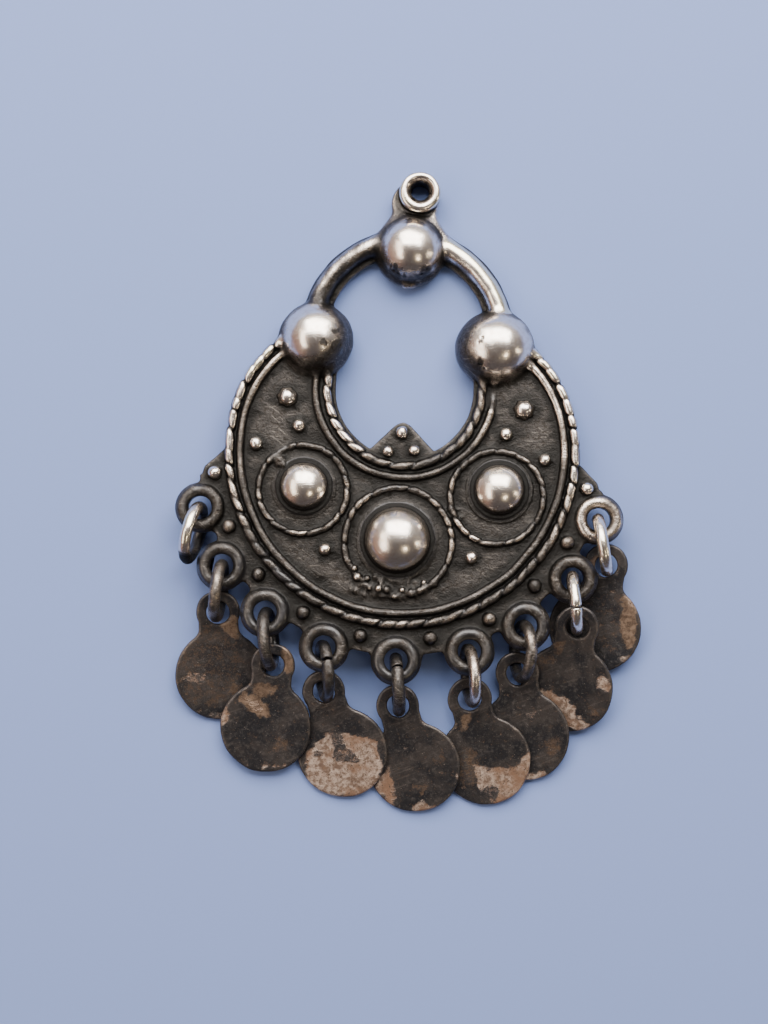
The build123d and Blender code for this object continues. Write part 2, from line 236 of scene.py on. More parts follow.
def arc_wire(cx, cy, radius, wire_r, height, pitch=0.0, start=0.0, sweep=360.0, seed=8, sink=(), slant=0.9):
    """Wire bent to an arc. sink lists where it has sunk into solder: bearing, half width, how deep."""
    def distance(p):
        bearing = (np.degrees(np.arctan2(p[:, 1] - cy, p[:, 0] - cx)) - start) % 360
        u = from_axis(p, cx, cy) - radius + 0.05 * lumpy(p, 2.0, seed)
        w = p[:, 2] - height - 0.05 * lumpy(p, 2.6, seed + 1)
        for at, half, deep in sink:
            near = np.clip(1 - np.abs((bearing + start - at + 180) % 360 - 180) / half, 0, 1)
            w = w + deep * near * (2 - near)
        thick = wire_r
        if pitch:
            thick = wire_r * (1 - 0.5 * slots(arc_turns(p, cx, cy, radius, pitch, slant, seed)))
        d = np.hypot(u, w * 0.95) - thick + 0.02 * lumpy(p, 0.7, seed)
        if sweep < 360:
            past = np.where(bearing > 180 + sweep / 2, 360 - bearing, bearing - sweep)
            d = closed_end(d, wire_r, np.radians(past) * radius)
        return d
    return distance


def bright_above(p, low, high):
    """Brighter towards the top of the pendant than at the bottom."""
    return low + (high - low) * np.clip((p[:, 1] + 12) / 22, 0, 1)


def crested(p, top, height, wire_r):
    """Rubbed by this much along the top of a wire, falling to black on its sides."""
    crest = np.clip(2.2 * (p[:, 2] - height) / wire_r - 0.75 + 0.2 * lumpy(p, 0.8, 10), 0, 1)
    return -0.1 + (top + 0.1) * crest


def border_shine(p):
    out, way = border_outline(p)[:2]
    top = bright_above(p, 0.3, 1.2) - 0.9 * slots(border_turns(p, out, way)) + 0.16 * lumpy(p, 1.6, 2)
    top = top - (0.4 + 0.3 * lumpy(p, 1.2, 5)) * np.exp(-from_axis(p, -12.5, -14) ** 2 / 32)
    return crested(p, top, wire_z, border_r)


def plain_shine(low, high, height, wire_r):
    def polish(p):
        right_horn = (p[:, 0] > 8) * (p[:, 1] > 0)
        top = bright_above(p, low, high) + 0.2 * right_horn + 0.12 * lumpy(p, 1.8, 4)
        return crested(p, top, height, wire_r)
    return polish


def sill_shine(p):
    x, y = p[:, 0], p[:, 1]
    top = 0.74 - 0.045 * np.clip(x + 4, 0, 12) - 0.3 * np.clip(0.8 - y, 0, 1) + 0.15 * (x > 6.5)
    top = top - 0.7 * np.clip(y - 7.6, 0, 1) * (x < 0)
    twist = arc_turns(p, 0, window_y, sill_arc_r, sill_pitch, 0.9, 8)
    top = top - 0.9 * slots(twist) + 0.15 * lumpy(p, 1.4, 3)
    return crested(p, top, wire_z, sill_r)


add(0, 0, 40, 0.08, border_shine, border_wire(0.0, border_r, 51.5, 49.6, True))
add(0, 0, 40, 0.10, plain_shine(0.10, 0.52, wire_z, border_plain_r),
    border_wire(border_plain_inset, border_plain_r, 49.2, 47.3, False))
add(0, window_y, 10, 0.08, sill_shine,
    arc_wire(0, window_y, sill_arc_r, sill_r, wire_z, sill_pitch, start=164, sweep=212))
add(0, window_y, 11, 0.12, plain_shine(0.08, 0.30, sill_plain_z, sill_plain_r),
    arc_wire(0, window_y, sill_plain_arc_r, sill_plain_r, sill_plain_z, start=169, sweep=202, seed=9,
             sink=[(0, 6, 0.45), (352, 5, 0.3)]))

# The three bosses. Each is a polished dome on a low stepped collar, inside its ring of twisted wire.
# Under the middle one the casting is rough and pitted, and the ring runs into it.
boss_wire_r = 0.38
bosses = [  # dome x, y and r, ring x, y and r, where the ring has sunk into solder
    (-10.72, -4.34, 2.74, -10.81, -4.68, 4.92, [(120, 22, 0.25), (165, 30, 0.12)]),
    (-0.14, -9.85, 3.72, -0.03, -10.0, 5.94, [(262, 38, 0.35), (215, 12, 0.2)]),
    (10.95, -3.82, 2.88, 10.70, -4.67, 5.17, [(330, 20, 0.15)]),
]


def foot_tarnish_and_shade(y, r):
    """Rubbed bright, but black at the foot: tarnish in the crease and painted shade, which reaches furthest
    up on the side towards the drops, away from the window light.
    """
    def polish(p):
        shaded_side = np.clip((y - p[:, 1]) / r + 0.3, 0, 1)
        height = p[:, 2] - plate_t - 0.35 - 0.15 * shaded_side + 0.06 * lumpy(p, 0.8, 3)
        return -0.6 + 1.65 * np.clip(height / (0.3 + 0.55 * shaded_side), 0, 1) ** 0.7
    return polish


def ring_shine(x, y, r, pitch):
    def polish(p):
        top = 0.26 - 0.5 * slots(arc_turns(p, x, y, r, pitch, 0.7, 13)) + 0.26 * lumpy(p, 1.8, 2)
        return crested(p, top, wire_z, boss_wire_r)
    return polish


def dome(x, y, z, r, dents=0.012):
    return lambda p: np.hypot(from_axis(p, x, y), p[:, 2] - z) - r + dents * lumpy(p, 1.1, 10)


def step(x, y, r, top):
    """A low round step with turned lines on it."""
    def distance(p):
        away = from_axis(p, x, y)
        return slab(away - r, p[:, 2], -1, top, 0.1) + 0.02 * lumpy(p, 1.0, 12) + 0.02 * np.sin(away * 11.5)
    return distance


def rough_patch(x, y, rx, ry, top, seed):
    """A low patch of rough casting skin, pitted and bubbled."""
    def distance(p):
        flat = (np.hypot((p[:, 0] - x) / rx, (p[:, 1] - y) / ry) - 1) * min(rx, ry)
        bubbles = 0.20 * lumpy(p, 0.6, seed) + 0.11 * lumpy(p, 0.3, seed + 1)
        return slab(flat, p[:, 2], -1, top, 0.3) + bubbles
    return distance


for x, y, r, rx, ry, rr, sinks in bosses:
    pitch = 2 * math.pi * rr / round(2 * math.pi * rr / 1.4)
    add(x, y, r + 1.2, 0.08, -0.02, step(x, y, r + 0.85, plate_t + 0.10))
    # The inner step is matt black: soot at the dome's foot, with painted shade there as well.
    add(x, y, r + 0.8, 0.08, -0.5, step(x, y, r + 0.4, plate_t + 0.28))
    add(rx, ry, rr + 0.6, 0.1, ring_shine(rx, ry, rr, pitch),
        arc_wire(rx, ry, rr, boss_wire_r, wire_z, pitch, seed=13, sink=sinks, slant=0.7))
    add(x, y, r + 0.3, 0.1, foot_tarnish_and_shade(y, r), dome(x, y, plate_t - 1.0, math.hypot(r, 1.25)))
add(-1.2, -15.0, 5.2, 0.3, 0.05, rough_patch(-0.9, -15.2, 4.6, 1.3, plate_t + 0.06, 14))
add(-13.4, -1.6, 1.6, 0.3, 0.22, rough_patch(-13.5, -1.7, 0.9, 0.8, plate_t + 0.28, 16))
add(6.3, -6.6, 1.6, 0.3, 0.2, rough_patch(6.0, -6.6, 1.3, 0.6, plate_t + 0.22, 17))

# Grains: small beads of silver fused on the plate, the window's tab, the rough patch and the flange.
# The two largest have a wreath of tiny beads round the foot.
grains = [
    (-13.0, 5.57, 1.0), (13.35, 5.23, 1.03), (-11.55, 2.41, 0.70), (11.47, 2.37, 0.69),
    (-16.25, 0.21, 0.72), (15.8, -0.28, 0.68), (-8.09, -11.24, 0.66), (8.15, -11.45, 0.68),
    (-0.09, 2.11, 0.68), (-1.55, -0.07, 0.6), (1.33, 0.17, 0.62),
]
grain_shine = [0.95, 0.35, 0.12, 0.08, 0.06, 0.08, 0.35, 0.12, 0.35, 0.85]
middle_ring_y = bosses[1][4]


def bead(x, y, z, r, seed):
    return lambda p: np.hypot(from_axis(p, x, y), p[:, 2] - z) - r + 0.08 * r * lumpy(p, r * 0.9, seed)


for number, bearing in enumerate(range(214, 322, 9)):
    x, y = polar(5.75 + 0.4 * math.sin(2.4 * number), bearing)
    y += middle_ring_y
    r = 0.40 + 0.10 * math.sin(1.7 * number)
    shine = 0.36 + 0.2 * math.sin(2.1 * number)
    add(x, y, r + 0.3, 0.12, shine, bead(x, y, plate_t + 0.08, r, 95 + number))
for number, (x, y, r) in enumerate(grains):
    wreathed = r > 0.9
    core = 0.94 * r if wreathed else r
    add(x, y, r + 0.3, 0.10, 0.92 if r > 0.67 else 0.66, bead(x, y, plate_t + 0.28, core, 30 + number))
    for spoke in range(7 if wreathed else 0):
        bx, by = polar(r * 0.80, 20 + spoke * 51.4)
        add(x + bx, y + by, 0.6, 0.22, 0.6, bead(x + bx, y + by, plate_t + 0.15, 0.30, 50 + spoke))
for bearing, shine in zip(grain_bearings, grain_shine):
    x, y = polar(grain_row_r, bearing)
    add(x, y, 1.1, 0.15, shine, bead(x, y, 1.2, 0.74, int(bearing)))

# The arch over the window: a flat web with a round wire soldered along it in two halves, from ball to
# ball. The right half is rubbed bright, the left is duller and pitted near its foot.
arch_y = 13.1
arch_r = 10.4
arch_wire_r = 1.02


def arch_web(p):
    flat = np.maximum(np.abs(from_axis(p, 0, arch_y) - arch_r) - 1.5, 11.6 - p[:, 1])
    return slab(flat, p[:, 2], -2, 0.85, 0.25) + 0.03 * lumpy(p, 1.2, 60)


def web_shine(p):
    return np.where(from_axis(p, 0, arch_y) > arch_r, -0.4, 0.28)


def arch_shine(inside, outside):
    """How bright the wire is on the arch's inner side and on its outer side. The darker inner side is partly
    painted shade, as that flank faces away from the window light.
    """
    def polish(p):
        out = from_axis(p, 0, arch_y) - arch_r + 0.2 * lumpy(p, 1.5, 3)
        foot = 0.3 * np.clip((18.5 - p[:, 1]) / 3, 0, 1) * (p[:, 0] < 0)
        return inside + (outside - inside) * np.clip(out / 0.8 + 0.5, 0, 1) - foot + 0.12 * lumpy(p, 0.8, 11)
    return polish


def arch_wire(start, sweep, radius, seed, pitted):
    """Half of the arch's wire, pitted by this much near its foot."""
    wire = arc_wire(0, arch_y, radius, arch_wire_r, 1.15, start=start, sweep=sweep, seed=seed)

    def distance(p):
        foot = np.clip((17.8 - p[:, 1]) / 3, 0, 1)
        return wire(p) + pitted * foot * (0.14 * lumpy(p, 0.7, seed + 3) + 0.07 * lumpy(p, 0.35, seed + 4))
    return distance


add(0, arch_y, 13, 0.3, web_shine, arch_web)
add(0, arch_y, 13, 0.45, arch_shine(0.72, 1.45), arch_wire(10, 57, 10.55, 61, 0.0))
add(0, arch_y, 13, 0.45, arch_shine(0.10, 0.55), arch_wire(111.5, 57, 10.6, 66, 1.0))

# Three large balls on round collars, one at the top of the arch and one on each horn. They are half
# sunk in solder, dented and pitted, and the right one bulges on its inner side.
balls = [(-10.05, 12.25, 0.75, 3.85), (10.2, 12.1, 0.75, 3.85), (0.08, 22.6, 1.0, 3.6)]
pits = [  # for each ball, x, y and radius of the small shallow pits that the casting left
    [(-8.5, 13.3, 0.16), (-8.15, 12.85, 0.13), (-7.7, 13.5, 0.14), (-8.6, 12.4, 0.1), (-9.2, 11.5, 0.14),
     (-8.8, 11.2, 0.1), (-7.6, 12.2, 0.13), (-7.3, 11.3, 0.15), (-9.4, 14.0, 0.12), (-8.1, 10.8, 0.12)],
    [(8.3, 12.7, 0.12), (8.0, 12.1, 0.1), (8.2, 9.9, 0.16), (7.7, 9.7, 0.12), (8.7, 9.5, 0.12),
     (7.4, 10.8, 0.12)],
    [(-1.8, 20.0, 0.18), (-1.35, 19.7, 0.16), (-0.95, 19.5, 0.12), (-2.1, 20.4, 0.12), (1.35, 19.7, 0.15),
     (0.8, 19.5, 0.1), (1.9, 20.2, 0.12)],
]


def collar(x, y, r, seed):
    """A round collar of solder with a soft uneven edge."""
    def distance(p):
        uneven = 0.06 * lumpy(p, 1.5, seed) + 0.03 * lumpy(p, 0.7, seed + 1)
        return slab(from_axis(p, x, y) - r, p[:, 2], -2, 1.3, 0.45) + uneven
    return distance


def polished_round(x, y, r, fade, low, stains):
    """Rubbed bright within r of a place, fading unevenly to tarnish beyond it and in its stains."""
    def polish(p):
        away = from_axis(p, x, y) + 0.3 * lumpy(p, 1.6, 5) + 0.16 * lumpy(p, 0.6, 9)
        shine = 1.0 - (1.0 - low) * np.clip((away - r) / fade, 0, 1)
        for sx, sy, sr in stains:
            shine -= 0.62 * np.clip(1.4 - from_axis(p, sx, sy) / sr + 0.55 * lumpy(p, 0.45, 7), 0, 1)
        return np.maximum(shine, -0.12)
    return polish


def pit(x, y, z, r, seed):
    return lambda p: r - np.hypot(from_axis(p, x, y), p[:, 2] - z) + 0.35 * r * lumpy(p, r * 1.5, seed)


add(-10.15, 12.1, 4.6, 0.5, 0.06, collar(-10.15, 12.1, 4.05, 70))
add(9.95, 12.05, 4.6, 0.5, 0.10, collar(9.95, 12.05, 4.05, 72))
add(0.0, 22.45, 4.4, 0.5, 0.12, collar(0.0, 22.45, 3.85, 74))
left_shine = polished_round(-10.7, 12.8, 2.3, 1.6, 0.20,
                            [(-8.1, 12.8, 0.45), (-9.1, 11.4, 0.4), (-7.6, 11.0, 0.7)])
right_shine = polished_round(10.5, 12.2, 2.6, 1.5, 0.32, [(8.2, 12.3, 0.3), (8.3, 9.9, 0.4)])
top_shine = polished_round(0.1, 22.7, 2.4, 1.4, 0.32, [(-1.5, 19.8, 0.7), (1.5, 19.9, 0.6)])
for (x, y, z, r), shine, fillet in zip(balls, (left_shine, right_shine, top_shine), (0.9, 1.0, 0.9)):
    add(x, y, r + 1, fillet, shine, dome(x, y, z, r, dents=0.022))
add(8.7, 11.9, 4.5, 1.2, right_shine, dome(8.7, 11.9, 0.7, 3.1))
for number, (x, y, r) in enumerate([(-0.35, 18.85, 0.55), (0.35, 18.8, 0.45)]):
    add(x, y, r + 0.6, 0.3, 0.55, bead(x, y, 0.95, r, 76 + number))
seed = 80
for (bx, by, bz, ball_r), ball_pits in zip(balls, pits):
    for x, y, r in ball_pits:
        z = bz + math.sqrt(ball_r ** 2 - (x - bx) ** 2 - (y - by) ** 2) + 0.62 * r
        cuts.append((x, y, r + 0.4, pit(x, y, z, r, seed)))
        seed += 1

# The lug and the hanging eye. The lug is a flat tongue that flares into the arch. The eye is a short
# thick tube soldered on it, funnelled at the mouth and rubbed pale by the cord.
lug_x, lug_y, lug_r = 0.28, 27.8, 2.62
eye_x, eye_y, eye_r = 0.79, 28.84, 2.28
eye_top = 3.5
mouth_x, mouth_y = 0.82, 28.98
bore_r = 1.04


def lug(p):
    x, y, z = p[:, 0] - lug_x, p[:, 1], p[:, 2]
    half = 2.5 + 3.1 * np.clip((27.0 - y) / 4.5, 0, 1.2) ** 1.7
    flare = np.maximum((np.abs(x) - half) * 0.8, y - lug_y)
    flat = np.maximum(np.minimum(np.hypot(x, y - lug_y) - lug_r, flare), 22.3 - y)
    saddle = 1.0 * np.exp(-((y - 25.4) / 1.4) ** 2 - (x / 2.2) ** 2)
    return slab(flat, z - saddle, -3, 1.5, 0.4) + 0.03 * lumpy(p, 1.4, 90)


def hanging_eye(p):
    tube = slab(from_axis(p, eye_x, eye_y) - eye_r, p[:, 2], -2, eye_top, 0.6)
    inward = np.clip(1.75 - from_axis(p, mouth_x, mouth_y), 0, 1) / 0.6
    funnel = (p[:, 2] - eye_top + 0.62 * inward ** 1.4) * 0.6
    return melt(tube, funnel, -0.3) + 0.03 * lumpy(p, 1.3, 91)


def eye_shine(p):
    # Pale where the cord rubbed the rim. The funnel darkening towards the bore and the tube's outer wall
    # below the rim are painted shade.
    r = from_axis(p, mouth_x, mouth_y) + 0.05 * lumpy(p, 1.0, 4)
    side = 0.7 * np.clip((3.1 - p[:, 2]) / 0.6, 0, 1) * (r > 1.8)
    return 0.45 + 0.65 * np.clip((r - 1.1) / 0.8, 0, 1) + 0.2 * lumpy(p, 0.9, 6) - side


add(0, 25.5, 8, 0.9, lambda p: 0.50 + 0.2 * np.clip((p[:, 0] - 0.5) / 2, 0, 1), lug)
add(eye_x, eye_y, 3, 0.25, eye_shine, hanging_eye)
cuts.append((eye_x, eye_y, 2.0, lambda p: bore_r - from_axis(p, mouth_x, 29.0)))

# The whole body. Its forms are melted into one in the order in which they were added, the holes and
# pits are cut, and a net of quads is wrapped round it. The net carries masks too: how hollow, how deep
# in shelter and how exposed each place is, and how it is rubbed.


def body_distance(p, polish=False):
    """Distance to the body's skin. With polish, how bright the nearest forms are rubbed.

    It goes tile by tile, so that a point meets only the forms that reach its tile.
    """
    tile = 4.0
    column = np.floor(p[:, 0] / tile).astype(int) * 4096 + np.floor(p[:, 1] / tile).astype(int) + 2048
    order = np.argsort(column, kind="stable")
    starts = np.flatnonzero(np.diff(column[order], prepend=-10 ** 9))
    result = np.empty(len(p), np.float32)
    for first, last in zip(starts, list(starts[1:]) + [len(p)]):
        rows = order[first:last]
        q = p[rows]
        mx = (math.floor(q[0, 0] / tile) + 0.5) * tile
        my = (math.floor(q[0, 1] / tile) + 0.5) * tile
        d = np.full(len(q), 5.0, np.float32)
        weights = np.full(len(q), 1e-9)
        shine = np.zeros(len(q))
        for x, y, reach, fillet, bright, distance in forms:
            if math.hypot(x - mx, y - my) > reach + tile * 0.71 + 0.6:
                continue
            e = distance(q)
            d = melt(d, e, fillet)
            if polish:
                weight = np.exp(-np.clip(e, -0.3, 3) / 0.06)
                weights += weight
                shine += weight * (bright(q) if callable(bright) else bright)
        for x, y, reach, distance in cuts:
            if math.hypot(x - mx, y - my) < reach + tile * 0.71 + 0.6:
                d = np.maximum(d, distance(q))
        result[rows] = shine / weights if polish else np.maximum(d, -q[:, 2])
    return result


def lattice(*rows):
    """Every point whose three coordinates come from these rows of numbers."""
    return np.stack(np.meshgrid(*rows, indexing="ij"), -1).reshape(-1, 3)


def skin(field, low, high, step, flat_back=False):
    """Wraps a smooth net of quads round a distance function, and tells hollows from edges."""
    # Only blocks near the skin are worked out in full. The others are all inside or all outside.
    block = 8
    low = np.array(low, float)
    count = np.ceil((np.array(high) - low) / step / block).astype(int)
    middles = lattice(*[(np.arange(n) + 0.5) * block for n in count])
    coarse = field((low + middles * step).astype(np.float32))
    near = np.abs(coarse) < block * step + 0.35
    far = np.where(coarse < 0, -1, 1).astype(np.float32).reshape(count)
    far = far.repeat(block, 0).repeat(block, 1).repeat(block, 2)
    values = np.pad(far, ((0, 1),) * 3, mode="edge")
    corners = (middles[near] - block / 2).astype(int)
    inner = lattice(*[np.arange(block + 1)] * 3)
    for chunk in np.array_split(corners, max(1, len(corners) // 800)):
        nodes = (chunk[:, None] + inner).reshape(-1, 3)
        values[tuple(nodes.T)] = field((low + nodes * step).astype(np.float32))
    # Each cell that the skin passes through gets a point, at the mean of where its edges are crossed.
    inside = values < 0
    packed = sum(inside[i:i - 1 or None, j:j - 1 or None, k:k - 1 or None].astype(np.int8)
                 for i, j, k in np.ndindex(2, 2, 2))
    cells = np.argwhere((packed > 0) & (packed < 8))
    number = np.full(packed.shape, -1, np.int32)
    number[tuple(cells.T)] = np.arange(len(cells))
    points = np.zeros((len(cells), 3))
    hits = np.zeros(len(cells))
    for axis, i, j in np.ndindex(3, 2, 2):
        start = np.roll((0, i, j), axis)
        way = np.roll((1, 0, 0), axis)
        a = values[tuple((cells + start).T)]
        b = values[tuple((cells + start + way).T)]
        crossed = (a < 0) != (b < 0)
        share = np.where(crossed, a / np.where(crossed, a - b, 1), 0)
        points += crossed[:, None] * (start + share[:, None] * way)
        hits += crossed
    points = low + (cells + points / hits[:, None]) * step
    # A quad joins the four cells round each crossed edge.
    quads = []
    for axis in range(3):
        edges = np.argwhere(np.diff(inside, axis=axis))
        sides = [(axis + 1) % 3, (axis + 2) % 3]
        within = (edges[:, sides] > 0) & (edges[:, sides] < np.array(packed.shape)[sides])
        edges = edges[within.all(1)]
        loop = np.stack([number[tuple((edges - np.roll((0, i, j), axis)).T)]
                         for i, j in ((0, 0), (1, 0), (1, 1), (0, 1))], 1)
        quads.append(np.where(inside[tuple(edges.T)][:, None], loop, loop[:, ::-1]))
    quads = np.concatenate(quads)
    for most in (0.5, 0.3):
        d, slope = steepest(field, points)
        points -= np.clip(d, -most * step, most * step)[:, None] * slope
    if flat_back:
        points[points[:, 2] < 0.02, 2] = 0.0
    solid = np.clip(0.5 - values / step, 0, 1).astype(np.float32)

    def solid_near(reach, out):
        return read_grid(blurred(solid, round(reach / step)), (points + out * slope - low) / step)
    return points, quads, solid_near(0.30, 0.30), solid_near(0.75, 0.85), 1 - solid_near(0.25, -0.22)


def steepest(field, points):
    """The distance at each point and the unit direction out of the skin."""
    slope = np.zeros((len(points), 3))
    d = np.zeros(len(points))
    for way in np.array([(1, -1, -1), (-1, 1, -1), (-1, -1, 1), (1, 1, 1)]):
        beyond = field((points + 0.03 * way).astype(np.float32))
        slope += beyond[:, None] * way
        d += beyond / 4
    return d, slope / np.maximum(np.linalg.norm(slope, axis=1), 1e-6)[:, None]


def blurred(grid, reach):
    """Evens a grid out over this many steps each way, twice."""
    for _ in range(2):
        for axis in range(3):
            wide = np.pad(grid, [(reach + 1, reach) if a == axis else (0, 0) for a in range(3)], mode="edge")
            total = np.cumsum(wide, axis=axis, dtype=np.float64)
            ahead = np.take(total, range(2 * reach + 1, total.shape[axis]), axis)
            behind = np.take(total, range(0, total.shape[axis] - 2 * reach - 1), axis)
            grid = ((ahead - behind) / (2 * reach + 1)).astype(np.float32)
    return grid


def read_grid(grid, places):
    """The grid's value at each place, in steps of the grid, blended between its eight neighbours."""
    low = np.clip(np.floor(places).astype(int), 0, np.array(grid.shape) - 2)
    f = np.clip(places - low, 0, 1)
    total = np.zeros(len(places))
    for corner in np.ndindex(2, 2, 2):
        total += np.where(corner, f, 1 - f).prod(1) * grid[tuple((low + corner).T)]
    return total


def set_in_scene(name, data):
    """A new object with this mesh, lamp or camera."""
    thing = bpy.data.objects.new(name, data)
    bpy.context.scene.collection.objects.link(thing)
    return thing


def mesh_piece(name, points, quads, masks):
    """Makes the object, in metres, with its masks kept on the points."""
    mesh = bpy.data.meshes.new(name)
    mesh.from_pydata((points * 0.001).astype(np.float32), [], quads)
    mesh.validate()
    mesh.shade_smooth()
    for mask, amounts in masks.items():
        mesh.attributes.new(mask, "FLOAT", "POINT").data.foreach_set("value", amounts.astype(np.float32))
    return set_in_scene(name, mesh)


# The pendant lies a little aslant: the back edge of the hanging eye is on the surface, and the wide end
# rests up on the rings. Everything then moves so that the origin is under the middle.
lean = math.radians(3.8461)
pivot_y = 31.12
to_row = np.array([-1.29967, 4.37559, 0.0])


def laid_down(points):
    y, z = points[:, 1] - pivot_y, points[:, 2]
    turned = np.stack([points[:, 0], pivot_y + y * math.cos(lean) + z * math.sin(lean),
                       -y * math.sin(lean) + z * math.cos(lean)], 1)
    return turned + to_row


body_step = 0.15
points, quads, hollow, deep, edge = skin(body_distance, (-26.0, -27.0, -0.4), (26.0, 32.0, 5.6), body_step,
                                         flat_back=True)
rubbed = body_distance(points.astype(np.float32), polish=True)
body = mesh_piece("silver_body", laid_down(points), quads,
                  {"hollow": hollow, "deep": deep, "edge": edge, "rubbed": rubbed})
for group, chosen in (("back", points[:, 2] < 0.01), ("quiet", rubbed < 0.25)):
    body.vertex_groups.new(name=group).add(np.flatnonzero(chosen).tolist(), 1.0, "REPLACE")
for group, keep in (("back", 0.05), ("quiet", 0.55)):
    thin = body.modifiers.new("fewer_faces", "DECIMATE")
    thin.ratio = keep
    thin.vertex_group = group
    lighter = bpy.data.meshes.new_from_object(body.evaluated_get(bpy.context.evaluated_depsgraph_get()))
    body.modifiers.clear()
    body.data = lighter
body.vertex_groups.clear()

# Tarnished silver. Sulphide blackens the hollows and the quiet plate, with painted shade added in the
# recesses and sheltered places, skin and cloth rub the high parts back to metal, and fine scratches
# and casting pits break the shine. Used by the body and the rings.


def new_node(tree, kind, **values):
    """Adds a shader node and sets its properties."""
    node = tree.nodes.new(kind)
    for key, value in values.items():
        setattr(node, key, value)
    return node


def feed(socket, value):
    """Sets a socket to a number or a colour, or links another node's output to it."""
    if isinstance(value, (int, float)):
        socket.default_value = value
    elif isinstance(value, tuple):
        socket.default_value = value + (1.0,)
    else:
        socket.id_data.links.new(value, socket)


def sums(operation):
    """A function that adds a Math node of this kind to the tree of the sockets that it is given."""
    def add_node(*values):
        tree = next(value.id_data for value in values if not isinstance(value, (int, float)))
        node = new_node(tree, "ShaderNodeMath", operation=operation)
        for socket, value in zip(node.inputs, values):
            feed(socket, value)
        return node.outputs["Value"]
    return add_node


plus, minus, times = sums("ADD"), sums("SUBTRACT"), sums("MULTIPLY")
times_plus, larger = sums("MULTIPLY_ADD"), sums("MAXIMUM")


def remap(value, low, high, to_low=0.0, to_high=1.0, soft=True):
    """Turns the range from low to high into another one, with soft or straight ends."""
    ends = "SMOOTHSTEP" if soft else "LINEAR"
    node = new_node(value.id_data, "ShaderNodeMapRange", interpolation_type=ends)
    for socket, number in zip(node.inputs, (value, low, high, to_low, to_high)):
        feed(socket, number)
    return node.outputs["Result"]


def blend(share, first, second):
    """Goes from the first colour to the second as the share goes from 0 to 1."""
    node = new_node(share.id_data, "ShaderNodeMix", data_type="RGBA")
    for name, value in (("Factor_Float", share), ("A_Color", first), ("B_Color", second)):
        feed(next(socket for socket in node.inputs if socket.identifier == name), value)
    return next(socket for socket in node.outputs if socket.type == "RGBA")


def grainy(places, per_mm, detail, rough, stretch=(1, 1, 1), warp=0.0, turned=0.0):
    """Noise over the piece, with this many grains to the millimetre, stretched and turned."""
    mapping = new_node(places.id_data, "ShaderNodeMapping", vector_type="TEXTURE" if turned else "POINT")
    if turned:
        mapping.inputs["Rotation"].default_value = (0, 0, math.radians(turned))
        mapping.inputs["Scale"].default_value = tuple(0.001 / per_mm / part for part in stretch)
    else:
        mapping.inputs["Scale"].default_value = tuple(1000 * per_mm * part for part in stretch)
    noise = new_node(places.id_data, "ShaderNodeTexNoise")
    for name, number in (("Scale", 1.0), ("Detail", detail), ("Roughness", rough), ("Distortion", warp)):
        noise.inputs[name].default_value = number
    feed(mapping.inputs["Vector"], places)
    feed(noise.inputs["Vector"], mapping.outputs["Vector"])
    return noise.outputs["Fac"]


def effect(name, masks, results):
    """A new node group that reads masks. Gives their sockets, those of its results, and the place."""
    group = bpy.data.node_groups.new(name, "ShaderNodeTree")
    for mask in masks:
        group.interface.new_socket(name=mask, in_out="INPUT", socket_type="NodeSocketFloat")
    for result in results:
        kind = "NodeSocketColor" if result == "Color" else "NodeSocketFloat"
        group.interface.new_socket(name=result, in_out="OUTPUT", socket_type=kind)
    given = new_node(group, "NodeGroupInput").outputs
    places = new_node(group, "ShaderNodeTexCoord").outputs["Object"]
    return [given[mask] for mask in masks], new_node(group, "NodeGroupOutput").inputs, places


(rubbed, hollow, deep, edge), result, places = effect(
    "tarnished_silver", ("Rubbed", "Hollow", "Deep", "Edge"),
    ("Color", "Roughness", "Metallic", "Glaze", "Height"))
clouds = grainy(places, 0.5, 4, 0.6)
spots = grainy(places, 2.2, 4, 0.65)
specks = grainy(places, 6.0, 3, 0.6)
scratches = grainy(places, 1.6, 2, 0.6, (0.22, 3.4, 1.0), 0.1, 4)
cross_scratches = grainy(places, 1.6, 2, 0.6, (0.22, 3.4, 1.0), 0.1, -38)
lines = larger(remap(scratches, 0.58, 0.68), remap(cross_scratches, 0.60, 0.68))
lines = times(lines, remap(clouds, 0.40, 0.58))
# How far the metal shows. Dirt and painted shade in the hollows, and unevenness, count for less where
# it is rubbed bright.
worn = times_plus(edge, 0.42, times(rubbed, 1.05))
dirt_and_shade = times_plus(hollow, 2.4, times(deep, 0.35))
noise = times_plus(spots, 0.55, times(clouds, 0.35))
spared = remap(rubbed, 0.5, 1.0, 1.0, 0.18, soft=False)
bright = minus(minus(worn, times(dirt_and_shade, spared)), times(minus(noise, 0.45), spared))
open_place = larger(remap(hollow, 0.20, 0.42, 1.0, 0.0), remap(rubbed, 0.6, 1.1, 0.0, 0.7))
clean = times(remap(bright, 0.08, 0.92), open_place)
# The tarnish, from dull black with dust and scratches to soot and painted shade in the hollows and
# sheltered places, and glossy or matt black.
oxide = blend(remap(clouds, 0.35, 0.7), (0.040, 0.036, 0.034), (0.072, 0.063, 0.057))
oxide = blend(times(remap(specks, 0.52, 0.75), 0.5), oxide, (0.20, 0.18, 0.16))
oxide = blend(times(lines, 0.55), oxide, (0.30, 0.265, 0.235))
oxide = blend(remap(spots, 0.50, 0.36), oxide, (0.035, 0.027, 0.021))
soot_and_shade = remap(times_plus(deep, 0.6, hollow), 0.10, 0.42)
soot_and_shade = times(soot_and_shade, remap(rubbed, 0.25, 0.6, 1.0, 0.45))
oxide = blend(soot_and_shade, oxide, (0.009, 0.008, 0.007))
oxide = blend(remap(rubbed, 0.0, -0.2), oxide, (0.030, 0.028, 0.029))
matt_black = remap(rubbed, -0.28, -0.48)
oxide = blend(matt_black, oxide, (0.012, 0.011, 0.010))
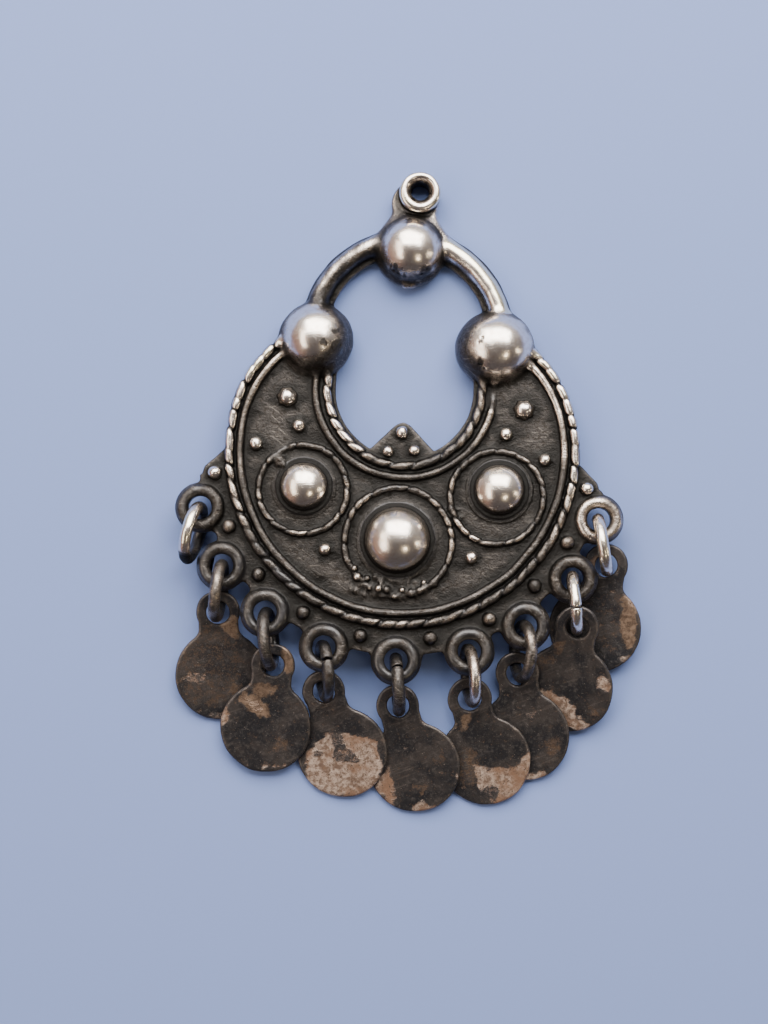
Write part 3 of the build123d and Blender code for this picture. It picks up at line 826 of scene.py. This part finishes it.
# The metal under it, from brown where it is half rubbed to silver and cream.
metal = blend(remap(spots, 0.40, 0.72), (0.90, 0.82, 0.74), (0.74, 0.62, 0.53))
metal = blend(remap(rubbed, 0.8, 0.4, 0.0, 0.75), metal, (0.76, 0.61, 0.49))
metal = blend(remap(rubbed, 1.0, 1.25), metal, (0.87, 0.80, 0.62))
feed(result["Color"], blend(clean, oxide, metal))
feed(result["Metallic"], remap(clean, 0, 0.4, 0.75, 1.0))
matt = remap(times_plus(edge, 0.8, rubbed), 0.15, 0.40, 0.46, 0.30)
matt = times(matt, remap(rubbed, -0.12, 0.0, 0.72, 1.0))
matt = times_plus(clean, -0.06, times_plus(matt_black, 0.3, matt))
feed(result["Roughness"], plus(matt, times(minus(spots, 0.5), 0.16)))
glaze = remap(rubbed, -0.02, -0.12, 0.04, 0.55)
glaze = times(glaze, remap(soot_and_shade, 0, 1, 1.0, 0.35))
feed(result["Glaze"], times(glaze, minus(1.0, matt_black)))
marks = times_plus(lines, 1.2, times(scratches, 0.6))
cast_grain = times_plus(specks, 0.9, times_plus(spots, 1.6, -1.25))
feed(result["Height"], times_plus(marks, 0.05, times(cast_grain, minus(1.06, clean))))


def new_material(name):
    material = bpy.data.materials.new(name)
    material.use_nodes = True
    return material, material.node_tree.nodes["Principled BSDF"]


def metal_finish(name, effect_name, masks, bump):
    """A metal finished by a node group, which reads the masks that the piece's mesh carries."""
    material, shader = new_material(name)
    tree = material.node_tree
    finish = new_node(tree, "ShaderNodeGroup", node_tree=bpy.data.node_groups[effect_name])
    for mask in masks:
        feed(finish.inputs[mask.capitalize()],
             new_node(tree, "ShaderNodeAttribute", attribute_name=mask).outputs["Fac"])
    relief = new_node(tree, "ShaderNodeBump")
    relief.inputs["Strength"].default_value = bump
    relief.inputs["Distance"].default_value = 0.0001
    feed(relief.inputs["Height"], finish.outputs["Height"])
    feed(shader.inputs["Normal"], relief.outputs["Normal"])
    for output, target in (("Color", "Base Color"), ("Roughness", "Roughness"), ("Metallic", "Metallic"),
                           ("Glaze", "Coat Weight")):
        if output in finish.outputs:
            feed(shader.inputs[target], finish.outputs[output])
    if "Glaze" in finish.outputs:
        shader.inputs["Coat Roughness"].default_value = 0.2
        shader.inputs["Coat IOR"].default_value = 1.6
    return material


cast_silver = metal_finish("cast_silver", "tarnished_silver", ("rubbed", "hollow", "deep", "edge"), 0.6)
body.data.materials.append(cast_silver)
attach(body, "root")
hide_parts("pendant_body")

# The nine jump rings, each a length of round wire bent into a ring and left with its cut open. They are
# worn flat in places and dented by the pliers. Each hangs in its eyelet where the frame has it. The first
# one is almost black on its outer side.
ring_r = 2.9
ring_wire_r = 0.65
rings = [  # number, bearing of the cut from the eyelet's side up, gap, brightness above and below (wear and painted shade)
    (1, 168.0, 0.16, 1.15, -0.15), (2, 300.0, 0.12, 0.35, -0.05), (3, 240.0, 0.1, 0.25, -0.3),
    (4, 62.0, 0.3, -0.02, -0.3), (5, 48.0, 0.25, 0.08, -0.3), (6, 250.0, 0.12, 0.60, 0.0),
    (7, 230.0, 0.1, 0.34, -0.15), (8, 96.0, 0.22, 1.15, 0.35), (9, 280.0, 0.1, 1.1, 0.4),
]


def frame_of(node):
    """A flat piece as the frame has it, in mm: points, their middle, and its long, short and thin ways."""
    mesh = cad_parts[node].data
    co = np.empty(len(mesh.vertices) * 3, np.float32)
    mesh.vertices.foreach_get("co", co)
    co = co.reshape(-1, 3).astype(float) * 1000
    middle = co.mean(0)
    return co, middle, np.linalg.svd(co - middle, full_matrices=False)[2]


def pointing(way, axis):
    """The same line, pointing up this axis."""
    return way if way[axis] > 0 else -way


def ring_field(cut, gap, seed):
    cut = math.radians(cut)

    def distance(p):
        u = np.hypot(p[:, 0], p[:, 1]) - ring_r + 0.04 * lumpy(p, 2.2, seed)
        v = p[:, 2] + 0.04 * lumpy(p, 2.4, seed + 30)
        d = np.hypot(u, v) - ring_wire_r + 0.03 * lumpy(p, 1.1, seed + 60) + 0.012 * lumpy(p, 0.4, seed + 61)
        along = p[:, 0] * math.cos(cut) + p[:, 1] * math.sin(cut)
        aside = -p[:, 0] * math.sin(cut) + p[:, 1] * math.cos(cut)
        open_end = np.where(along > 0, gap / 2 + 0.12 * lumpy(p, 0.5, seed + 62) * gap - np.abs(aside), -9)
        return melt(d, open_end, -0.12)
    return distance


wire_step = 0.13
ring_silver = metal_finish("ring_silver", "tarnished_silver", ("rubbed", "hollow", "edge"), 0.5)
for number, cut, gap, top, low in rings:
    co, middle, ways = frame_of(f"jump_ring_{number}")
    normal = pointing(ways[2], 0)
    inward = pointing(np.cross(normal, (0, 0, 1.0)), 1)
    inward /= np.linalg.norm(inward)
    up = pointing(np.cross(inward, normal), 2)
    flat = np.stack([(co - middle) @ inward, (co - middle) @ up], 1)
    fit = np.linalg.lstsq(np.c_[2 * flat, np.ones(len(flat))], (flat ** 2).sum(1), rcond=None)[0]
    middle = middle + inward * fit[0] + up * fit[1]
    half = ring_r + ring_wire_r + 0.3
    field = ring_field(cut, gap, number)
    points, quads, hollow, _, edge = skin(field, (-half, -half, -1.1), (half, half, 1.1), wire_step)
    placed = middle + points[:, :1] * inward + points[:, 1:2] * up + points[:, 2:] * np.cross(inward, up)
    uneven = points.astype(np.float32)
    # The lower part of each ring, which goes down through its eyelet under the flange, is painted darker as
    # shade; the top is rubbed brighter.
    wear_and_shade_by_height = np.clip((points[:, 1] - 0.3) / 2.4 + 0.25 * lumpy(uneven, 1.5, number), 0, 1)
    shine = low + (top - low) * wear_and_shade_by_height + 0.10 * lumpy(uneven, 0.7, number + 3)
    if number == 1:
        shine = shine - 1.5 * np.clip((-points[:, 0] - 2.2) / 0.5, 0, 1)
    ring = mesh_piece(f"ring_{number}", placed, quads, {"hollow": hollow, "edge": edge, "rubbed": shine})
    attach(ring, "root")
    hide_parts(f"jump_ring_{number}")
    ring.data.materials.append(ring_silver)

# The eight drops. Each is cut from thin sheet like a keyhole, a little bent and dished by wear, with
# soft hammered edges. The sheet is patinated almost black, and tan metal and ochre stain come through in
# worn patches. They lie one on another in a row where the frame has them.
drop_eye_r = 2.45
drop_hole_r = 1.28
drop_neck_half = 2.25
drop_disc_r = 5.11
drop_length = 7.15
drop_half_t = 0.24
patches = {  # drop: middle x and y on the row, half length and width, turn, what shows, how strongly
    2: [(-22.2, -20.5, 4.1, 4.4, 2, "ochre", 0.19), (-23.3, -21.6, 0.9, 0.4, -8, "tan", 0.27),
        (-19.5, -15.8, 1.0, 1.0, 2, "ochre", 0.6), (-20.9, -25.8, 1.0, 0.3, 2, "tan", 0.27),
        (-19.1, -22.8, 1.1, 0.7, 42, "ochre", 0.4)],
    3: [(-13.1, -19.2, 0.6, 1.2, 2, "ochre", 0.8), (-15.6, -22.7, 1.3, 0.8, 2, "ochre", 0.6),
        (-16.1, -24.7, 2.2, 0.9, -38, "ochre", 1.0), (-16.3, -24.5, 1.5, 0.5, -38, "tan", 0.33),
        (-19.9, -25.7, 0.3, 0.9, 2, "tan", 0.6), (-14.5, -31.2, 1.3, 0.3, 2, "tan", 0.7),
        (-13.2, -28.7, 1.0, 0.8, 2, "ochre", 0.3)],
    4: [(-6.4, -31.2, 4.2, 4.2, 2, "tan", 0.95), (-7.3, -27.7, 0.7, 1.0, 12, "dark", 0.75),
        (-6.2, -29.7, 1.5, 0.9, 2, "dark", 0.78), (-9.2, -29.6, 0.7, 0.6, 2, "dark", 0.72),
        (-5.3, -34.2, 1.0, 0.4, 2, "dark", 0.8), (-8.6, -33.5, 0.8, 0.4, -28, "dark", 0.4)],
    5: [(-1.5, -33.0, 1.0, 1.8, 2, "tan", 0.8), (6.3, -31.2, 0.3, 1.0, 2, "tan", 0.7),
        (2.0, -33.0, 0.6, 0.4, 22, "ochre", 0.38), (2.8, -35.2, 1.9, 0.3, 6, "tan", 0.7),
        (0.4, -28.5, 0.3, 0.3, 2, "tan", 0.45), (4.4, -29.6, 0.9, 0.7, 2, "ochre", 0.25)],
    6: [(7.8, -30.6, 1.6, 2.2, 2, "ochre", 0.3), (12.0, -32.1, 3.2, 2.2, 10, "tan", 0.97),
        (14.2, -29.7, 0.7, 1.6, -13, "tan", 0.8), (12.0, -29.8, 1.0, 0.9, 2, "dark", 0.85),
        (10.0, -33.3, 1.0, 0.9, 2, "dark", 0.8), (9.1, -30.6, 0.8, 0.7, 2, "tan", 0.6),
        (7.1, -25.3, 0.4, 1.0, -13, "ochre", 0.7), (7.7, -34.0, 1.6, 0.7, 2, "dark", 0.6)],
    7: [(13.8, -24.2, 1.3, 0.4, 12, "tan", 0.42), (15.4, -31.3, 1.0, 0.3, 2, "tan", 0.7),
        (16.8, -27.4, 0.8, 1.0, 2, "ochre", 0.3)],
    8: [(17.6, -23.2, 3.1, 1.0, -40, "tan", 0.9), (22.2, -20.1, 0.6, 0.9, 2, "tan", 0.7),
        (17.2, -16.3, 0.7, 0.6, 2, "ochre", 0.45), (21.1, -23.7, 0.9, 0.4, 2, "ochre", 0.4),
        (15.6, -18.2, 1.1, 0.6, 22, "ochre", 0.3)],
    9: [(23.6, -13.2, 2.9, 4.0, 2, "ochre", 0.12), (24.8, -13.2, 0.9, 3.5, 2, "ochre", 1.1),
        (24.8, -10.9, 0.4, 1.6, 12, "tan", 0.5), (24.7, -17.4, 0.7, 0.4, 2, "tan", 0.5),
        (21.3, -7.2, 1.3, 1.1, 2, "ochre", 0.4), (22.1, -11.0, 0.7, 0.6, 2, "dark", 0.5)],
}


def drop_field(seed):
    def distance(p):
        x, y = p[:, 0] + 0.06 * lumpy(p, 2.5, seed), p[:, 1] + 0.06 * lumpy(p, 2.5, seed + 20)
        z = p[:, 2] + 0.05 * lumpy(p * (1, 1, 0), 5.0, seed + 40)
        neck = np.maximum(np.abs(x) - drop_neck_half, np.abs(y + drop_length / 2) - drop_length / 2)
        flat = np.minimum(np.hypot(x, y) - drop_eye_r, neck)
        flat = melt(flat, np.hypot(x, y + drop_length) - drop_disc_r, 0.7)
        flat = np.maximum(flat, drop_hole_r - np.hypot(x, y) + 0.05 * lumpy(p, 0.9, seed + 50))
        return slab(flat, z, -drop_half_t, drop_half_t, 0.16) + 0.012 * lumpy(p, 0.8, seed + 70)
    return distance


def patch_masks(number, placed):
    """How much bare tan metal and ochre stain each point shows, from the drop's own patches."""
    masks = {"tan": np.zeros(len(placed)), "ochre": np.zeros(len(placed))}
    flat = placed.astype(np.float32)
    wobble = (0.28 * lumpy(flat, 1.7, number) + 0.20 * lumpy(flat, 0.7, number + 4)
              + 0.14 * lumpy(flat, 0.35, number + 8))
    for x, y, half_long, half_wide, turn, kind, amount in patches[number]:
        c, s = math.cos(math.radians(turn)), math.sin(math.radians(turn))
        u, v = placed[:, 0] - x, placed[:, 1] - y
        away = np.hypot((u * c + v * s) / half_long, (v * c - u * s) / half_wide) - 1
        cover = amount * np.clip(0.5 - (away * min(half_long, half_wide) + wobble) / 0.5, 0, 1)
        if kind == "dark":
            masks["tan"] = masks["tan"] * (1 - cover)
        else:
            masks[kind] = np.maximum(masks[kind], cover)
    return masks


(tan, ochre, edge), result, places = effect(
    "worn_sheet", ("Tan", "Ochre", "Edge"), ("Color", "Roughness", "Metallic", "Height"))
clouds = grainy(places, 0.35, 4, 0.6)
spots = grainy(places, 1.6, 5, 0.7)
specks = grainy(places, 5.0, 3, 0.65)
scratches = grainy(places, 1.3, 2, 0.6, (0.2, 3.0, 1.0), 0.1, 24)
scratches = times(remap(scratches, 0.58, 0.68), remap(clouds, 0.42, 0.58))
broken = minus(times_plus(spots, 1.1, times(specks, 0.5)), 0.80)
patina = blend(remap(clouds, 0.38, 0.62), (0.024, 0.024, 0.028), (0.060, 0.052, 0.050))
patina = blend(times(remap(spots, 0.48, 0.75), 0.6), patina, (0.12, 0.105, 0.098))
patina = blend(remap(specks, 0.64, 0.78), patina, (0.34, 0.285, 0.24))
patina = blend(times(scratches, 0.26), patina, (0.17, 0.145, 0.125))
stain = blend(remap(spots, 0.35, 0.65), (0.10, 0.067, 0.048), (0.27, 0.185, 0.13))
patina = blend(remap(minus(ochre, times(broken, 1.6)), 0.1, 0.6), patina, stain)
metal = blend(remap(spots, 0.38, 0.62), (0.15, 0.098, 0.072), (0.44, 0.335, 0.27))
metal = blend(remap(clouds, 0.42, 0.62), metal, (0.22, 0.130, 0.085))
metal = blend(remap(specks, 0.57, 0.66), metal, (0.085, 0.06, 0.046))
# The rims are lighter: worn metal, with a painted highlight along the edge as well.
rim = remap(minus(edge, times(spots, 0.5)), 0.16, 0.45)
bare = remap(minus(tan, broken), 0.12, 0.60)
feed(result["Color"], blend(bare, blend(times(rim, 0.45), patina, (0.24, 0.20, 0.17)), metal))
feed(result["Roughness"], times_plus(spots, 0.22, 0.26))
feed(result["Metallic"], remap(bare, 0, 1, 0.7, 0.45, soft=False))
feed(result["Height"], times_plus(specks, 0.5, minus(spots, bare)))
drop_sheet = metal_finish("drop_metal", "worn_sheet", ("tan", "ochre", "edge"), 0.5)
sheet_step = 0.19
for number in sorted(patches):
    co, _, ways = frame_of(f"drop_{number}")
    normal = pointing(ways[2], 2)
    upward = pointing(ways[0], 1)
    across = np.cross(upward, normal)
    side, height, level = co @ across, co @ upward, co @ normal
    middle = (across * (side.max() + side.min()) / 2 + upward * (height.min() + drop_disc_r + drop_length)
              + normal * (level.max() + level.min()) / 2)
    points, quads, _, _, edge = skin(drop_field(number), (-5.6, -12.8, -0.7), (5.6, 3.0, 0.7), sheet_step)
    placed = middle + points[:, :1] * across + points[:, 1:2] * upward + points[:, 2:] * normal
    drop = mesh_piece(f"sheet_drop_{number}", placed, quads, {"edge": edge, **patch_masks(number, placed)})
    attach(drop, "root")
    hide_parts(f"drop_{number}")
    drop.data.materials.append(drop_sheet)

# The floor is plain and pale, and the light is soft: a broad window above the pendant's top, a
# narrower one on the left, and two small lamps. The room round it is dim, with a warm wall on the left
# and a pale one at the window.
floor_mesh = bpy.data.meshes.new("floor")
floor_mesh.from_pydata([(-4, -4, 0), (4, -4, 0), (4, 4, 0), (-4, 4, 0)], [], [(0, 1, 2, 3)])
floor = set_in_scene("floor", floor_mesh)
floor_paint, floor_shader = new_material("floor_paint")
floor_shader.inputs["Base Color"].default_value = (0.195, 0.265, 0.53, 1)
floor_shader.inputs["Roughness"].default_value = 0.95
floor_shader.inputs["Specular IOR Level"].default_value = 0.1
floor_mesh.materials.append(floor_paint)

lights = [  # name, direction east, north and up, distance, width, height, watts, colour
    ("top_window", (0.02, 0.70, 0.71), 0.34, 0.45, 0.29, 4.2, (1.0, 0.97, 0.93)),
    ("left_window", (-0.70, -0.04, 0.71), 0.60, 0.62, 0.20, 1.7, (1.0, 0.90, 0.78)),
    ("small_lamp", (0.43, -0.43, 0.80), 0.60, 0.07, 0.07, 0.30, (1.0, 0.85, 0.60)),
    ("side_lamp", (0.94, -0.10, 0.31), 0.60, 0.08, 0.16, 0.25, (1.0, 0.88, 0.66)),
]
for name, way, far, width, height, watts, colour in lights:
    lamp = bpy.data.lights.new(name, "AREA")
    lamp.shape = "RECTANGLE"
    lamp.size, lamp.size_y = width, height
    lamp.energy = watts
    lamp.color = colour
    holder = set_in_scene(name, lamp)
    way = Vector(way).normalized()
    holder.location = way * far
    holder.rotation_euler = way.to_track_quat("Z", "Y").to_euler()

world = bpy.data.worlds.new("room")
world.use_nodes = True
room = world.node_tree
way = new_node(room, "ShaderNodeSeparateXYZ")
feed(way.inputs["Vector"], new_node(room, "ShaderNodeTexCoord").outputs["Generated"])
left_wall = blend(remap(way.outputs["X"], -0.3, -0.9), (0.085, 0.076, 0.082), (0.36, 0.21, 0.16))
toward_window = remap(times_plus(way.outputs["Z"], 0.12, way.outputs["Y"]), -0.14, 1.0)
feed(room.nodes["Background"].inputs["Color"], blend(toward_window, left_wall, (0.60, 0.56, 0.54)))
bpy.context.scene.world = world

# The camera looks straight down on the pendant, as in the photo, and is turned so that the pendant is
# seen 2.4 degrees askew, as it lies there.
camera_data = bpy.data.cameras.new("camera")
camera_data.lens = 81.3
camera_data.sensor_width = 36
camera = set_in_scene("camera", camera_data)
camera.location = (-0.00302, -0.00226, 0.260)
camera.rotation_euler = (0, 0, math.radians(2.4))
bpy.context.scene.camera = camera
